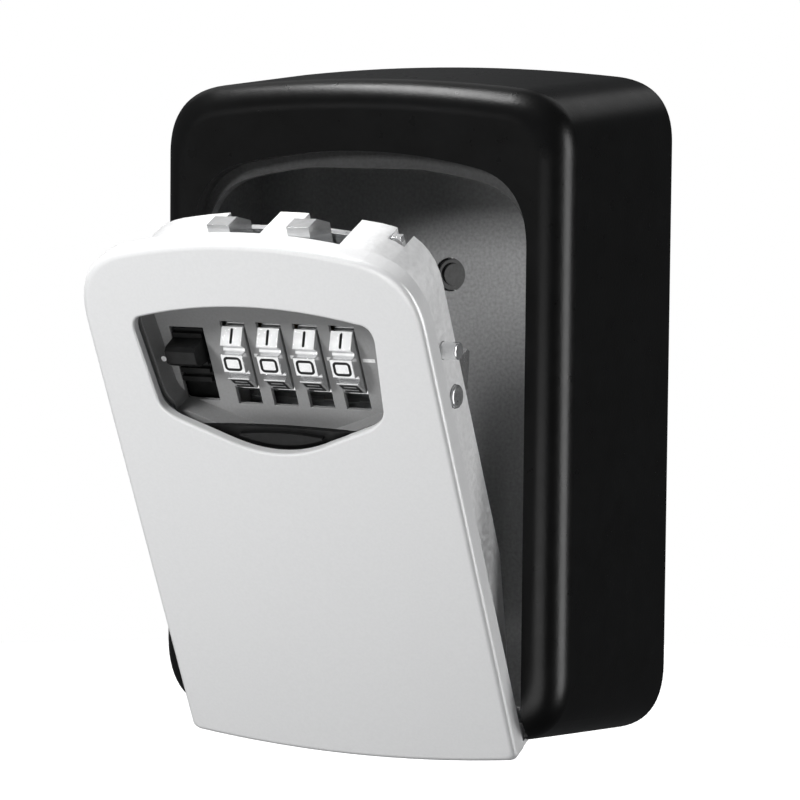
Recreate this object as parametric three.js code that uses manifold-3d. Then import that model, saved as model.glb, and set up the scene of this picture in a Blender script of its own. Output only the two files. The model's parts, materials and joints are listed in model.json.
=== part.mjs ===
// Wall-mounted key lock box: a cast housing with a drop-down door that carries a four-dial
// combination lock. Millimetres. The origin is the centre of the housing's rear face, +Y points out
// of that face into the wall, +X is to the right seen from the front and +Z is up.
import * as THREE from 'three';
import { mergeVertices } from 'three/addons/utils/BufferGeometryUtils.js';
import Module from 'manifold-3d';

const wasm = await Module();
wasm.setup();

// ---- driving dimensions -------------------------------------------------------------------------
const doorOpenDeg = 25.7; // how far the door stands open in the modelled pose
const gap = 0.3; // running clearance between neighbours in the door
const snug = 0.1; // clearance round a fixed pin

const housing = {
  half: 42.5, // half width at the wall
  crown: 59.9, // top of the arch at the wall
  bottom: -59.9,
  depth: 40,
  wall: 2.6,
  back: 3,
  sideTaper: 2.75, // lost on each side from wall to front
  topTaper: 2.6,
  bottomTaper: 3.2,
  archSag: 2.7,
  topCorner: 10.5,
  bottomCorner: 12.9,
  fillet: 5.2,
};
const rimDepth = 3.2; // depth of the rebate that the door cover sits in
const ledgeDepth = 2.0;
const opening = { half: 32.9, crown: 45.0, sag: 5.2, cornerX: 10, cornerZ: 11, bottom: -75 };
const inner = { half: 32.2, crown: 42.5, sag: 5.2, cornerX: 10, cornerZ: 11, bottom: -75 };
const keeper = { half: 11, bottom: 41.9 };
const wallHoleRadius = 3.1;
const wallHoles = [[0, 22], [0, -34], [-27, -6], [27, -6]];
// depths in front of the wall
const holePlug = { radius: 2.95, cupRadius: 2.1, front: 2.2, floor: 1.6, rear: 0.8 };

const pin = { y: -33, z: -52.6, radius: 1.5, half: 35.4 };
const lug = { front: 3.6, rear: 4.6, below: 3.2, above: 4.4 }; // reach of the hinge lugs round the pin
const barrel = { radius: 2.6, half: 22, bore: 1.7 };

const coverFace = -42.5; // y of the cover's side edges with the door shut
const cover = {
  half: 32.4,
  crown: 44.1,
  sag: 5.2,
  cornerX: 10,
  cornerZ: 11,
  bottom: -55.7,
  bottomSag: 2.0,
  skin: 1.6,
  rim: 3.6,
  crownDepth: 0.8, // how far the middle of the face stands out
};
const flange = { depth: 13, skin: 1.0, inset: 0.4, gusset: 1.2 };
const coverPosts = [[-27, -20], [27, -20], [-27, -40], [27, -40]];
const coverPostRadius = 2;

const windowTop = { half: 22.8, z: 28.4, crown: 32.3 };
const windowBottom = { half: 21.6, z: 13.4, vee: 5.2, notch: 8, floor: 3.8 };

const frame = {
  half: 28,
  crown: 41.2,
  sag: 3.6,
  cornerX: 9,
  cornerZ: 9,
  bottom: -47.5,
  front: 3.9,
  rear: 16.8,
};
const cavity = { left: -23.5, right: 25.5, bottom: 3.4, top: 39.0, floor: 8.9, wall: 2.2 };
const tray = { half: 25.4, bottom: -45.0, top: -1.0, floor: 5.9 };
const rearPlate = { half: 25.4, bottom: -0.6, top: 38.6, front: 15.3, rear: 16.8, inset: 2.4 };
const hump = { left: -14.6, right: 18.4, bottom: 7.6, top: 28.4, rear: 22.2, wall: 1.4 };
const rearScrews = [[-19.5, 35.9], [19.5, 35.9], [-19.5, 1.2], [12, 1.2]];
const screw = {
  shank: 1.0,
  head: 2.3,
  crown: 1.9,
  tip: 11.5,
  top: 18.2,
  slot: 0.5, // depth of the cross recess
  drive: 3.0, // and its width
  boss: 2.2,
  hole: 1.2,
};

const bezelPlate = { front: 7.05, rear: 7.85, rimFront: 3.1, rimWall: 1.2, overlap: 1.6 };
const dial = {
  y: 12.3, // depth of the axis behind the cover's face
  z: 18.4,
  radius: 8.0,
  groove: 1.1,
  width: 4.3,
  first: -8.2,
  pitch: 6.98,
  count: 4,
  slotWidth: 4.7,
};
const dialSlot = { bottom: 9.1, top: 25.2 };
const leverSlot = { left: -20.8, right: -14.2, bottom: 9.5, top: 23.7 };
const sleeve = { hub: 2.3, disc: 4.0, discWidth: 1.5, bore: 1.7 };
const detent = { left: -12.4, right: 16.6, bottom: 4.4, rear: 14.6, leafHalf: 1.5 };
const fence = { left: -6.6, right: 17.2, half: 0.5, gateHalf: 0.8, height: 3.0 };
const axleRadius = 1.5;
const axleEnds = [-13.2, 31.0];

const latchTravel = 3.0;
const hook = { front: 8.0, rear: 15.0, top: 43.0, land: 3.2, heel: 40.4, step: 37.5, root: 35.2, width: 4.2 };
const latchTab = { left: 22.0, right: 23.9 }; // folded tab at the latch's right end
const latchSprings = {
  left: { x: -18, y: 12.7, foot: 13.1, length: 16.3, radius: 1.5, turns: 6 },
  right: { x: 21.6, y: 11.6, foot: 21.5, length: 7.9, radius: 1.4, turns: 4 },
};
const hookCentres = [-7.0, 8.1];
const hookPockets = [[-9.6, 0.2], [5.6, 15.4]];

const shutter = { half: 24.2, front: 1.9, rear: 2.8, top: 8.0, bottom: -22.5, sag: 1.3, corner: 4 };
const thumbPad = { half: 8, front: 1.0, side: 6.4, low: 3.6, edge: 6.8, high: 7.9 };
const lever = { left: -20.4, right: -14.6, back: 9.2, face: 7.5, ribFront: 6.7, ribPitch: 1.7, ribHeight: 0.9 };
const thumbLedge = { bottom: 17.2, top: 21.8, front: 3.3 };
const shutterGuides = { from: 24.8, to: 25.8, rear: 3.4, bottom: -24, top: 33 };
const changeSpindle = { y: 13.0, z: 9.2, radius: 2.0, from: 19.6, to: 28.6 };
const changePivot = { x: 22.0, z: 9.0, front: 17.1, rear: 18.5, reach: 27.4, tabRear: 22.0 };

// ---- helpers ------------------------------------------------------------------------------------
function solid(geometry) {
  const bare = geometry.index ? geometry.toNonIndexed() : geometry.clone();
  bare.deleteAttribute('normal');
  bare.deleteAttribute('uv');
  const merged = mergeVertices(bare, 1e-5);
  return new wasm.Manifold(new wasm.Mesh({
    numProp: 3,
    vertProperties: new Float32Array(merged.attributes.position.array),
    triVerts: new Uint32Array(merged.index.array),
  }));
}

function join(pieces) {
  return pieces.reduce((whole, piece) => whole.add(piece));
}

function box(x0, x1, y0, y1, z0, z1) {
  const block = new THREE.BoxGeometry(x1 - x0, y1 - y0, z1 - z0);
  block.translate((x0 + x1) / 2, (y0 + y1) / 2, (z0 + z1) / 2);
  return solid(block);
}

// The same block at both sides of the centre plane.
function boxPair(inner, outer, y0, y1, z0, z1) {
  return [box(inner, outer, y0, y1, z0, z1), box(-outer, -inner, y0, y1, z0, z1)];
}

// A cylinder between two points; a second radius makes it a cone.
function rod(from, to, radius, endRadius = radius, sides = 24) {
  const start = new THREE.Vector3(...from);
  const along = new THREE.Vector3(...to).sub(start);
  const shape = new THREE.CylinderGeometry(endRadius, radius, along.length(), sides);
  shape.translate(0, along.length() / 2, 0);
  const turn = new THREE.Quaternion().setFromUnitVectors(new THREE.Vector3(0, 1, 0), along.normalize());
  shape.applyQuaternion(turn);
  shape.translate(start.x, start.y, start.z);
  return solid(shape);
}

// A cylinder along Y, or along X, at one place.
function rodY(x, z, y0, y1, radius, sides = 24) {
  return rod([x, y0, z], [x, y1, z], radius, radius, sides);
}

function rodX(y, z, x0, x1, radius, sides = 24) {
  return rod([x0, y, z], [x1, y, z], radius, radius, sides);
}

// Extrudes an outline drawn in X and Z from y0 to y1.
function plate(shape, y0, y1, steps = 8) {
  const slab = new THREE.ExtrudeGeometry(shape, { depth: y1 - y0, bevelEnabled: false, curveSegments: steps });
  slab.rotateX(Math.PI / 2);
  slab.translate(0, y1, 0);
  return solid(slab);
}

// Extrudes an outline drawn in Y and Z from x0 to x1.
function bar(shape, x0, x1, steps = 8) {
  const slab = new THREE.ExtrudeGeometry(shape, { depth: x1 - x0, bevelEnabled: false, curveSegments: steps });
  slab.applyMatrix4(new THREE.Matrix4().set(0, 0, 1, x0, 1, 0, 0, 0, 0, 1, 0, 0, 0, 0, 0, 1));
  return solid(slab);
}

function polygon(points) {
  return new THREE.Shape(points.map(([a, b]) => new THREE.Vector2(a, b)));
}

// A panel outline with an arched top, soft top corners and a straight or bowed bottom.
function archedShape({ half, crown, sag, cornerX, cornerZ, bottom, bottomSag = 0 }) {
  const height = (x) => crown - sag * (x / half) ** 2;
  const inside = half - cornerX;
  const slope = 2 * sag * inside / half ** 2;
  const control = height(inside) - slope * cornerX;
  const shape = new THREE.Shape();
  shape.moveTo(half, bottom);
  shape.lineTo(half, height(half) - cornerZ);
  shape.quadraticCurveTo(half, control, inside, height(inside));
  shape.quadraticCurveTo(0, 2 * crown - height(inside), -inside, height(inside));
  shape.quadraticCurveTo(-half, control, -half, height(half) - cornerZ);
  shape.lineTo(-half, bottom);
  if (bottomSag > 0) {
    shape.quadraticCurveTo(0, bottom - 2 * bottomSag, half, bottom);
  }
  return shape;
}

function grown(panel, by) {
  return { ...panel, half: panel.half + by, crown: panel.crown + by, bottom: panel.bottom - by };
}

// Skins a row of outlines that all have the same number of points, and closes both ends.
function loft(outlines, ys) {
  const count = outlines[0].length;
  const positions = outlines.flatMap((outline, i) => outline.flatMap((p) => [p.x, ys[i], p.y]));
  const cap = THREE.ShapeUtils.triangulateShape(outlines[0], []);
  const last = (outlines.length - 1) * count;
  const index = cap.flatMap(([a, b, c]) => [a, c, b]);
  index.push(...cap.flatMap(([a, b, c]) => [last + a, last + b, last + c]));
  for (let row = 0; row < outlines.length - 1; row += 1) {
    for (let i = 0; i < count; i += 1) {
      const a = row * count + i;
      const b = row * count + (i + 1) % count;
      index.push(a, b, b + count, a, b + count, a + count);
    }
  }
  const skin = new THREE.BufferGeometry();
  skin.setAttribute('position', new THREE.Float32BufferAttribute(positions, 3));
  skin.setIndex(index);
  return solid(skin);
}

function piece(parent, name, body, finish) {
  const { vertProperties, triVerts, numProp } = body.getMesh();
  const geometry = new THREE.BufferGeometry();
  const positions = new Float32Array(vertProperties.length / numProp * 3);
  for (let i = 0; i < positions.length / 3; i += 1) {
    positions.set(vertProperties.subarray(i * numProp, i * numProp + 3), i * 3);
  }
  geometry.setAttribute('position', new THREE.BufferAttribute(positions, 3));
  geometry.setIndex(new THREE.BufferAttribute(new Uint32Array(triVerts), 1));
  const mesh = new THREE.Mesh(geometry, new THREE.MeshStandardMaterial(finish));
  mesh.name = name;
  parent.add(mesh);
}

// y of a plane that lies the given depth behind the cover's face
const at = (depth) => coverFace + depth;

const blackPaint = { color: 0x101011, roughness: 0.45, metalness: 0.1 };
const silverPaint = { color: 0xdfe0e2, roughness: 0.4, metalness: 0.3 };
const castZinc = { color: 0xc9cacb, roughness: 0.5, metalness: 0.6 };
const greyPlastic = { color: 0x7f8083, roughness: 0.6, metalness: 0.0 };
const blackPlastic = { color: 0x18181a, roughness: 0.55, metalness: 0.0 };
const chrome = { color: 0xe4e4e6, roughness: 0.12, metalness: 1.0 };
const steel = { color: 0xa8a9ab, roughness: 0.3, metalness: 0.9 };
const brass = { color: 0xb89b5a, roughness: 0.35, metalness: 0.9 };

// ---- housing ------------------------------------------------------------------------------------
// The housing's outline at a depth in front of the wall, drawn in by an inset.
function housingOutline(depth, inset) {
  const t = depth / housing.depth;
  const half = housing.half - housing.sideTaper * t - inset;
  const crown = housing.crown - housing.topTaper * t - inset;
  const bottom = housing.bottom + housing.bottomTaper * t + inset;
  const corner = housing.topCorner - inset * 0.7;
  const lowCorner = housing.bottomCorner - inset * 0.7;
  const height = (x) => crown - housing.archSag * (x / half) ** 2;
  const inside = half - corner;
  const shape = new THREE.Shape();
  shape.moveTo(half, bottom + lowCorner);
  shape.lineTo(half, height(half) - corner);
  shape.quadraticCurveTo(half, height(half), inside, height(inside));
  shape.quadraticCurveTo(0, 2 * crown - height(inside), -inside, height(inside));
  shape.quadraticCurveTo(-half, height(half), -half, height(half) - corner);
  shape.lineTo(-half, bottom + lowCorner);
  shape.quadraticCurveTo(-half, bottom, -half + lowCorner, bottom);
  shape.lineTo(half - lowCorner, bottom);
  shape.quadraticCurveTo(half, bottom, half, bottom + lowCorner);
  return shape.getPoints(8).slice(0, -1);
}

function housingOuter() {
  const straight = housing.depth - housing.fillet;
  const filletAngles = [0, 22.5, 45, 67.5, 90].map(THREE.MathUtils.degToRad);
  const depths = [0, ...filletAngles.map((a) => straight + housing.fillet * Math.sin(a))];
  const insets = [0, ...filletAngles.map((a) => housing.fillet * (1 - Math.cos(a)))];
  return loft(depths.map((d, i) => housingOutline(d, insets[i])), depths.map((d) => -d));
}

function housingHollow() {
  const front = housing.depth - rimDepth - ledgeDepth;
  return loft(
    [housingOutline(housing.back, housing.wall), housingOutline(front, housing.wall)],
    [-housing.back, -front],
  );
}

// The rebate the cover closes into, the mouth behind it, and the slot in the floor for the door's foot.
function housingFront() {
  const rimBack = -(housing.depth - rimDepth);
  const ledgeBack = rimBack + ledgeDepth;
  const lip = box(-keeper.half, keeper.half, rimBack - 1, ledgeBack + 1, keeper.bottom, 60);
  const rebate = plate(archedShape(opening), -housing.depth - 1, rimBack);
  const mouth = plate(archedShape(inner), rimBack - 0.5, ledgeBack + 0.5).subtract(lip);
  const floorSlot = box(-inner.half, inner.half, ledgeBack - 0.5, -24, -75, -50);
  return [rebate, mouth, floorSlot];
}

function makeHousing(parent) {
  const lugs = boxPair(opening.half + gap, housing.half - 4.5,
    pin.y - lug.front, pin.y + lug.rear, pin.z - lug.below, pin.z + lug.above);
  const holes = wallHoles.map(([x, z]) => rodY(x, z, -housing.back - 1, 1, wallHoleRadius, 32));
  const boreEnd = pin.half + 0.4;
  const pinBore = rodX(pin.y, pin.z, -boreEnd, boreEnd, pin.radius + snug);
  const outer = housingOuter();
  const shell = outer.subtract(join([housingHollow(), ...housingFront()]));
  const body = shell.add(join(lugs).intersect(outer)).subtract(join([pinBore, ...holes]));
  piece(parent, 'housing', body, blackPaint);
  piece(parent, 'hinge_pin', rodX(pin.y, pin.z, -pin.half, pin.half, pin.radius), steel);
}

// Push-in plugs that keep the weather out of the screw holes.
function makeHolePlugs(parent) {
  const { radius, cupRadius, front, floor, rear } = holePlug;
  wallHoles.forEach(([x, z], i) => {
    const cup = rodY(x, z, -front - 1, -floor, cupRadius, 32);
    piece(parent, `hole_plug_${i + 1}`, rodY(x, z, -front, -rear, radius, 32).subtract(cup), blackPlastic);
  });
}

// ---- door cover and frame -----------------------------------------------------------------------
// The lock's window in the cover, grown outwards by a distance.
function windowShape(by) {
  const half = windowTop.half + by;
  const low = windowBottom.half + by;
  const shoulder = windowTop.z + 1.3 + by;
  const heel = windowBottom.z - 3.4 - by;
  const notch = windowBottom.notch + 1.6;
  const notchTop = windowBottom.vee + 1.2 - by;
  const shape = new THREE.Shape();
  shape.moveTo(low, windowBottom.z);
  shape.lineTo(half, windowTop.z - 2);
  shape.quadraticCurveTo(half, shoulder - 0.3, half - 2.5, shoulder);
  shape.quadraticCurveTo(0, 2 * (windowTop.crown + by) - shoulder, -half + 2.5, shoulder);
  shape.quadraticCurveTo(-half, shoulder - 0.3, -half, windowTop.z - 2);
  shape.lineTo(-low, windowBottom.z);
  shape.quadraticCurveTo(-low + 0.4, windowBottom.z - 2, -low + 3.2, heel);
  shape.lineTo(-notch, notchTop);
  shape.quadraticCurveTo(0, windowBottom.floor - 1.6 - by, notch, notchTop);
  shape.lineTo(low - 3.2, heel);
  shape.quadraticCurveTo(low - 0.4, windowBottom.z - 2, low, windowBottom.z);
  return shape;
}

// The front of the cover is a shallow barrel, curved across its width.
function faceLimit() {
  const front = at(-cover.crownDepth);
  const edge = cover.half + 1;
  const shape = new THREE.Shape();
  shape.moveTo(-edge, at(30));
  shape.lineTo(-edge, at(0.05));
  shape.quadraticCurveTo(0, 2 * front - at(0.05), edge, at(0.05));
  shape.lineTo(edge, at(30));
  const slab = new THREE.ExtrudeGeometry(shape, { depth: 130, bevelEnabled: false, curveSegments: 16 });
  slab.translate(0, 0, -70);
  return solid(slab);
}

// The foot of the cover turns back under the door, with a small gusset at each end.
function coverFlange() {
  const outside = { ...cover, half: cover.half - flange.inset };
  const inside = grown(outside, -flange.skin);
  const kept = box(-40, 40, at(0), at(20), cover.bottom - 5, cover.bottom + flange.gusset);
  return plate(archedShape(outside), at(cover.rim - 0.5), at(flange.depth), 10)
    .subtract(plate(archedShape(inside), at(cover.rim - 1), at(flange.depth + 1), 10))
    .intersect(kept);
}

function makeCover(parent) {
  const outer = plate(archedShape(cover), at(-2), at(cover.rim), 10);
  const pocket = plate(archedShape(grown(cover, -cover.skin)), at(cover.skin), at(cover.rim + 1), 10);
  const posts = coverPosts
    .map(([x, z]) => rodY(x, z, at(cover.skin - 0.3), at(frame.front - gap), coverPostRadius));
  const guides = boxPair(shutterGuides.from, shutterGuides.to,
    at(cover.skin - 0.2), at(shutterGuides.rear), shutterGuides.bottom, shutterGuides.top);
  const body = join([outer.subtract(pocket), ...posts, ...guides, coverFlange()])
    .intersect(faceLimit())
    .subtract(plate(windowShape(0), at(-3), at(cover.skin + 1), 8));
  piece(parent, 'front_cover', body, silverPaint);
}

// The frame's side view: full depth round the lock, then tapering down to its foot.
function frameSide() {
  return bar(polygon([
    [at(0), -60], [at(10.2), -60], [at(10.2), -49], [at(frame.rear), -24], [at(frame.rear), 60], [at(0), 60],
  ]), -40, 40);
}

// Everything that is hollowed out of the frame.
function frameRooms() {
  const lockRoom = box(cavity.left, cavity.right, at(cavity.floor), at(30), cavity.bottom, cavity.top)
    .intersect(plate(archedShape(grown(frame, -cavity.wall)), at(0), at(30)));
  const bezelRoom = plate(windowShape(2.0), at(0), at(cavity.floor + 1), 6);
  const trayRoom = box(-tray.half, tray.half, at(tray.floor), at(30), tray.bottom, tray.top);
  const rearSeat = rearOutline(gap, at(rearPlate.front - gap), at(30));
  const pockets = hookPockets.map(([x0, x1]) => box(x0, x1, at(hook.front - 0.6), at(30), hook.root - 1, 50));
  const tabNotch = box(latchTab.left - gap, latchTab.right + 0.5, at(13.0), at(30), 27, 50);
  return join([lockRoom, bezelRoom, trayRoom, rearSeat, tabNotch, ...pockets]);
}

// What stands up inside the frame: the axle's left support, spring seats, screw bosses and the hinge web.
function frameFittings() {
  const foot = cavity.bottom - 0.5;
  const axleBlock = box(-14.0, -12.7, at(10.6), at(rearPlate.front - 2 * gap), foot, 24)
    .subtract(rodX(at(dial.y), dial.z, -20, -10, axleRadius + snug));
  const springPost = box(-20, -16, at(10.9), at(14.6), foot, latchSprings.left.foot - 0.2);
  const springShelf = box(19.7, 26, at(9.9), at(13.3), 20.8, latchSprings.right.foot - 0.2);
  const bosses = rearScrews.slice(0, 2)
    .map(([x, z]) => rodY(x, z, at(cavity.floor - 0.2), at(rearPlate.front - gap), screw.boss));
  const web = box(-30, 30, at(frame.front), at(frame.front + 3.2), pin.z - 0.6, -44);
  const hinge = rodX(pin.y, pin.z, -barrel.half, barrel.half, barrel.radius);
  return [axleBlock, springPost, springShelf, ...bosses, web, hinge];
}

function frameBores() {
  const { y, z, radius } = changeSpindle;
  return join([
    rodX(at(dial.y), dial.z, 20, 40, axleRadius + snug),
    rodX(at(y), z, 20, 40, radius + snug),
    rodX(pin.y, pin.z, -40, 40, barrel.bore),
    ...rearScrews.map(([sx, sz]) => rodY(sx, sz, at(11.0), at(20), screw.hole, 16)),
  ]);
}

function makeFrame(parent) {
  const outer = plate(archedShape(frame), at(frame.front), at(frame.rear), 8).intersect(frameSide());
  const body = join([outer.subtract(frameRooms()), ...frameFittings()]).subtract(frameBores());
  piece(parent, 'door_frame', body, castZinc);
}

// The rear cover's outline: a rectangle whose top follows the arch of the frame.
function rearOutline(by, y0, y1) {
  const arch = plate(archedShape(grown(frame, by - rearPlate.inset)), y0, y1);
  const reach = rearPlate.half + by;
  const limit = box(-reach, reach, y0, y1, rearPlate.bottom - by, rearPlate.top + by);
  return arch.intersect(limit);
}

function makeRearCover(parent) {
  const { left, right, bottom, top, rear, wall } = hump;
  const sheet = rearOutline(0, at(rearPlate.front), at(rearPlate.rear));
  const bump = box(left, right, at(rearPlate.front + 0.2), at(rear), bottom, top);
  const room = box(left + wall, right - wall, at(0), at(rear - wall), bottom + wall, top - wall);
  const bores = [...rearScrews, [changePivot.x, changePivot.z]]
    .map(([x, z]) => rodY(x, z, at(10), at(30), screw.hole + snug, 16));
  piece(parent, 'rear_cover', join([sheet, bump]).subtract(join([room, ...bores])), steel);
}

function makeRearScrews(parent) {
  const drive = screw.drive / 2;
  rearScrews.forEach(([x, z], i) => {
    const shank = rodY(x, z, at(screw.tip), at(rearPlate.rear + 0.4), screw.shank, 16);
    const head = rod([x, at(rearPlate.rear + 0.1), z], [x, at(screw.top), z], screw.head, screw.crown, 20);
    const cross = join([
      box(x - drive, x + drive, at(screw.top - screw.slot), at(19), z - 0.3, z + 0.3),
      box(x - 0.3, x + 0.3, at(screw.top - screw.slot), at(19), z - drive, z + drive),
    ]);
    piece(parent, `rear_cover_screw_${i + 1}`, join([shank, head]).subtract(cross), steel);
  });
}

// ---- bezel, dials and their axle ----------------------------------------------------------------
const dialCentres = Array.from({ length: dial.count }, (_, i) => dial.first + i * dial.pitch);

function makeBezel(parent) {
  const block = plate(windowShape(bezelPlate.overlap), at(bezelPlate.rimFront), at(bezelPlate.rear), 8);
  const recess = plate(windowShape(bezelPlate.overlap - bezelPlate.rimWall), at(0), at(bezelPlate.front), 8);
  const reach = dial.slotWidth / 2;
  const slots = dialCentres.map((x) => box(x - reach, x + reach, at(0), at(20), dialSlot.bottom, dialSlot.top));
  slots.push(box(leverSlot.left, leverSlot.right, at(0), at(20), leverSlot.bottom, leverSlot.top));
  piece(parent, 'dial_bezel', block.subtract(join([recess, ...slots])), greyPlastic);
}

// Ten flat facets with a narrow groove between neighbours.
function wheelShape() {
  const grooveRadius = dial.radius - dial.groove;
  const facet = [[-12.6, dial.radius], [12.6, dial.radius], [15.4, grooveRadius], [20.6, grooveRadius]];
  const points = [];
  for (let i = 0; i < 10; i += 1) {
    facet.forEach(([turn, r]) => {
      const a = THREE.MathUtils.degToRad(i * 36 + turn);
      points.push([-r * Math.cos(a), r * Math.sin(a)]);
    });
  }
  return polygon(points.reverse());
}

// A round body on the dials' axis, from x0 to x1.
function onAxis(x0, x1, radius) {
  return rodX(at(dial.y), dial.z, x0, x1, radius, 28);
}

// Each dial grips a sleeve whose disc has one gate for the fence.
function makeDials(parent) {
  dialCentres.forEach((x, i) => {
    const start = x - dial.width / 2;
    const end = x + dial.width / 2;
    const wheel = bar(wheelShape(), start, end).translate([0, at(dial.y), dial.z])
      .subtract(onAxis(start - 1, end + 1, sleeve.hub + 0.15));
    const hub = onAxis(start, end + gap + snug, sleeve.hub);
    const disc = onAxis(end + gap, end + gap + sleeve.discWidth, sleeve.disc);
    const gate = box(end + gap / 2, end + 3, at(dial.y - fence.gateHalf), at(dial.y + fence.gateHalf),
      dial.z + sleeve.hub, dial.z + 8);
    const bore = onAxis(start - 1, end + 3, sleeve.bore);
    piece(parent, `dial_${i + 1}`, wheel, chrome);
    piece(parent, `dial_sleeve_${i + 1}`, join([hub, disc]).subtract(join([gate, bore])), brass);
  });
  piece(parent, 'dial_axle', onAxis(...axleEnds, axleRadius), chrome);
}

// A round-wire coil round an axis through the given centre, along X or Z.
function coil(centre, along, length, radius, wire, turns) {
  const steps = turns * 12;
  const points = [];
  for (let i = 0; i <= steps; i += 1) {
    const a = i / 12 * 2 * Math.PI;
    const s = wire + (length - 2 * wire) * i / steps;
    const around = [radius * Math.cos(a), radius * Math.sin(a)];
    const offset = along === 'x' ? [s, ...around] : [...around, s];
    points.push(new THREE.Vector3(...centre).add(new THREE.Vector3(...offset)));
  }
  const section = new THREE.Shape();
  section.absarc(0, 0, wire, 0, 2 * Math.PI);
  return solid(new THREE.ExtrudeGeometry(section, {
    extrudePath: new THREE.CatmullRomCurve3(points), steps, curveSegments: 3, bevelEnabled: false,
  }));
}

function makeSprings(parent) {
  Object.entries(latchSprings).forEach(([side, { x, y, foot, length, radius, turns }]) => {
    piece(parent, `latch_spring_${side}`, coil([x, at(y), foot], 'z', length, radius, 0.3, turns), steel);
  });
  piece(parent, 'sleeve_spring', coil([17.3, at(dial.y), dial.z], 'x', 7.8, 1.9, 0.25, 5), steel);
}

// A strip under the dials with one leaf for each, which drops between the facets.
function makeDetent(parent) {
  const { left, right, bottom, rear } = detent;
  const base = box(left, right, at(9.3), at(rear), bottom, bottom + 1);
  const foot = box(left, right, at(rear - 0.8), at(rear), bottom, bottom + 3.6);
  const leaf = polygon([
    [at(rear), 7.2], [at(rear), 7.9], [at(dial.y), 9.9], [at(10.2), 8.9], [at(10.2), 8.3], [at(dial.y), 9.2],
  ]);
  const leaves = dialCentres.map((x) => bar(leaf, x - detent.leafHalf, x + detent.leafHalf));
  piece(parent, 'detent_spring', join([base, foot, ...leaves]), steel);
}

function makeSpindle(parent) {
  const { y, z, radius, from, to } = changeSpindle;
  piece(parent, 'change_spindle', rodX(at(y), z, from, to, radius), steel);
}

// ---- latch, open lever, shutter and change lever ------------------------------------------------
const latchFloor = dial.z + dial.radius + latchTravel + 0.4;

function hookSide() {
  return polygon([
    [at(hook.front), hook.step],
    [at(9.6), hook.step],
    [at(9.6), hook.root],
    [at(hook.rear - 0.3), hook.root],
    [at(hook.rear), hook.heel],
    [at(hook.front + hook.land), hook.top],
    [at(hook.front), hook.top],
  ]);
}

function makeLatch(parent) {
  const slab = box(-11.2, 15.6, at(9.3), at(14.7), latchFloor, 36.0);
  const arm = box(-22.6, -11, at(10.8), at(14.4), latchFloor, 33.2);
  const wing = box(15.4, 23.2, at(9.3), at(14.6), latchFloor, 33.0);
  const tab = box(latchTab.left, latchTab.right, at(13.4), at(14.6), 31.5, 38.8);
  const hooks = hookCentres.map((x) => bar(hookSide(), x - hook.width / 2, x + hook.width / 2));
  const fenceSlot = box(fence.left - 0.9, 20, at(dial.y - fence.gateHalf), at(dial.y + fence.gateHalf),
    latchFloor - 1, latchFloor + fence.height + gap);
  piece(parent, 'latch_slide', join([slab, arm, wing, tab, ...hooks]).subtract(fenceSlot), chrome);
}

// The fence: a bar in the latch with one finger over each sleeve's disc.
function makeFence(parent) {
  const y0 = at(dial.y - fence.half);
  const y1 = at(dial.y + fence.half);
  const tip = dial.z + sleeve.disc + latchTravel + gap;
  const fingers = dialCentres.map((x) => {
    const middle = x + dial.width / 2 + gap + sleeve.discWidth / 2;
    return box(middle - fence.half, middle + fence.half, y0, y1, tip, latchFloor + 1);
  });
  const spine = box(fence.left, fence.right, y0, y1, latchFloor, latchFloor + fence.height);
  piece(parent, 'fence_bar', join([spine, ...fingers]), steel);
}

function makeOpenLever(parent) {
  const { left, right, back, face, ribFront, ribPitch, ribHeight } = lever;
  const low = leverSlot.bottom + latchTravel + 0.4;
  const high = leverSlot.top - 0.4;
  const slide = box(left - 1.2, right + gap, at(back), at(back + 1.2), 6.8, 27.4);
  const block = box(left, right, at(face), at(back + 0.2), low, high);
  const ribs = [];
  for (let z = low + 0.4; z < high - ribHeight; z += ribPitch) {
    ribs.push(box(left, right, at(ribFront), at(face + 0.2), z, z + ribHeight));
  }
  const { bottom, top, front } = thumbLedge;
  const ledge = bar(polygon([
    [at(face + 0.1), bottom],
    [at(face + 0.1), top],
    [at(front + 0.7), top - 0.3],
    [at(front), top - 0.9],
    [at(front), bottom + 1.4],
    [at(front + 0.9), bottom + 0.5],
  ]), left, right);
  piece(parent, 'open_lever', join([slide, block, ledge, ...ribs]), blackPlastic);
}

// The shutter slides up over the dials; a lens-shaped pad stands in the window's notch for the thumb.
function makeShutter(parent) {
  const { half, front, rear, top, bottom, sag, corner } = shutter;
  const panel = { half, crown: top, sag, cornerX: corner, cornerZ: corner, bottom };
  const pad = new THREE.Shape();
  pad.moveTo(-thumbPad.half, thumbPad.side);
  pad.quadraticCurveTo(0, thumbPad.low, thumbPad.half, thumbPad.side);
  pad.lineTo(thumbPad.half, thumbPad.edge);
  pad.quadraticCurveTo(0, thumbPad.high, -thumbPad.half, thumbPad.edge);
  const sheet = plate(archedShape(panel), at(front), at(rear), 8);
  piece(parent, 'shutter', sheet.add(plate(pad, at(thumbPad.front), at(front + 0.2))), blackPlastic);
}

function makeChangeLever(parent) {
  const { x, z, front, rear, reach, tabRear } = changePivot;
  const disc = rodY(x, z, at(front), at(rear), 3.0);
  const arm = box(x, reach, at(front), at(rear), z - 1.6, z + 2.6);
  const tab = bar(polygon([
    [at(front), z - 1.6],
    [at(front), z + 4.6],
    [at(tabRear - 0.6), z + 4.6],
    [at(tabRear), z + 3.8],
    [at(rear + 0.1), z - 1.6],
  ]), reach - 1.8, reach);
  const bore = rodY(x, z, at(15), at(20), 1.35);
  piece(parent, 'change_lever', join([disc, arm, tab]).subtract(bore), chrome);
  const shank = rodY(x, z, at(15.6), at(rear + 0.4), 1.1);
  const head = rod([x, at(rear + gap), z], [x, at(rear + 1), z], 2.0, 1.6);
  piece(parent, 'change_lever_rivet', join([shank, head]), steel);
}

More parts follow.
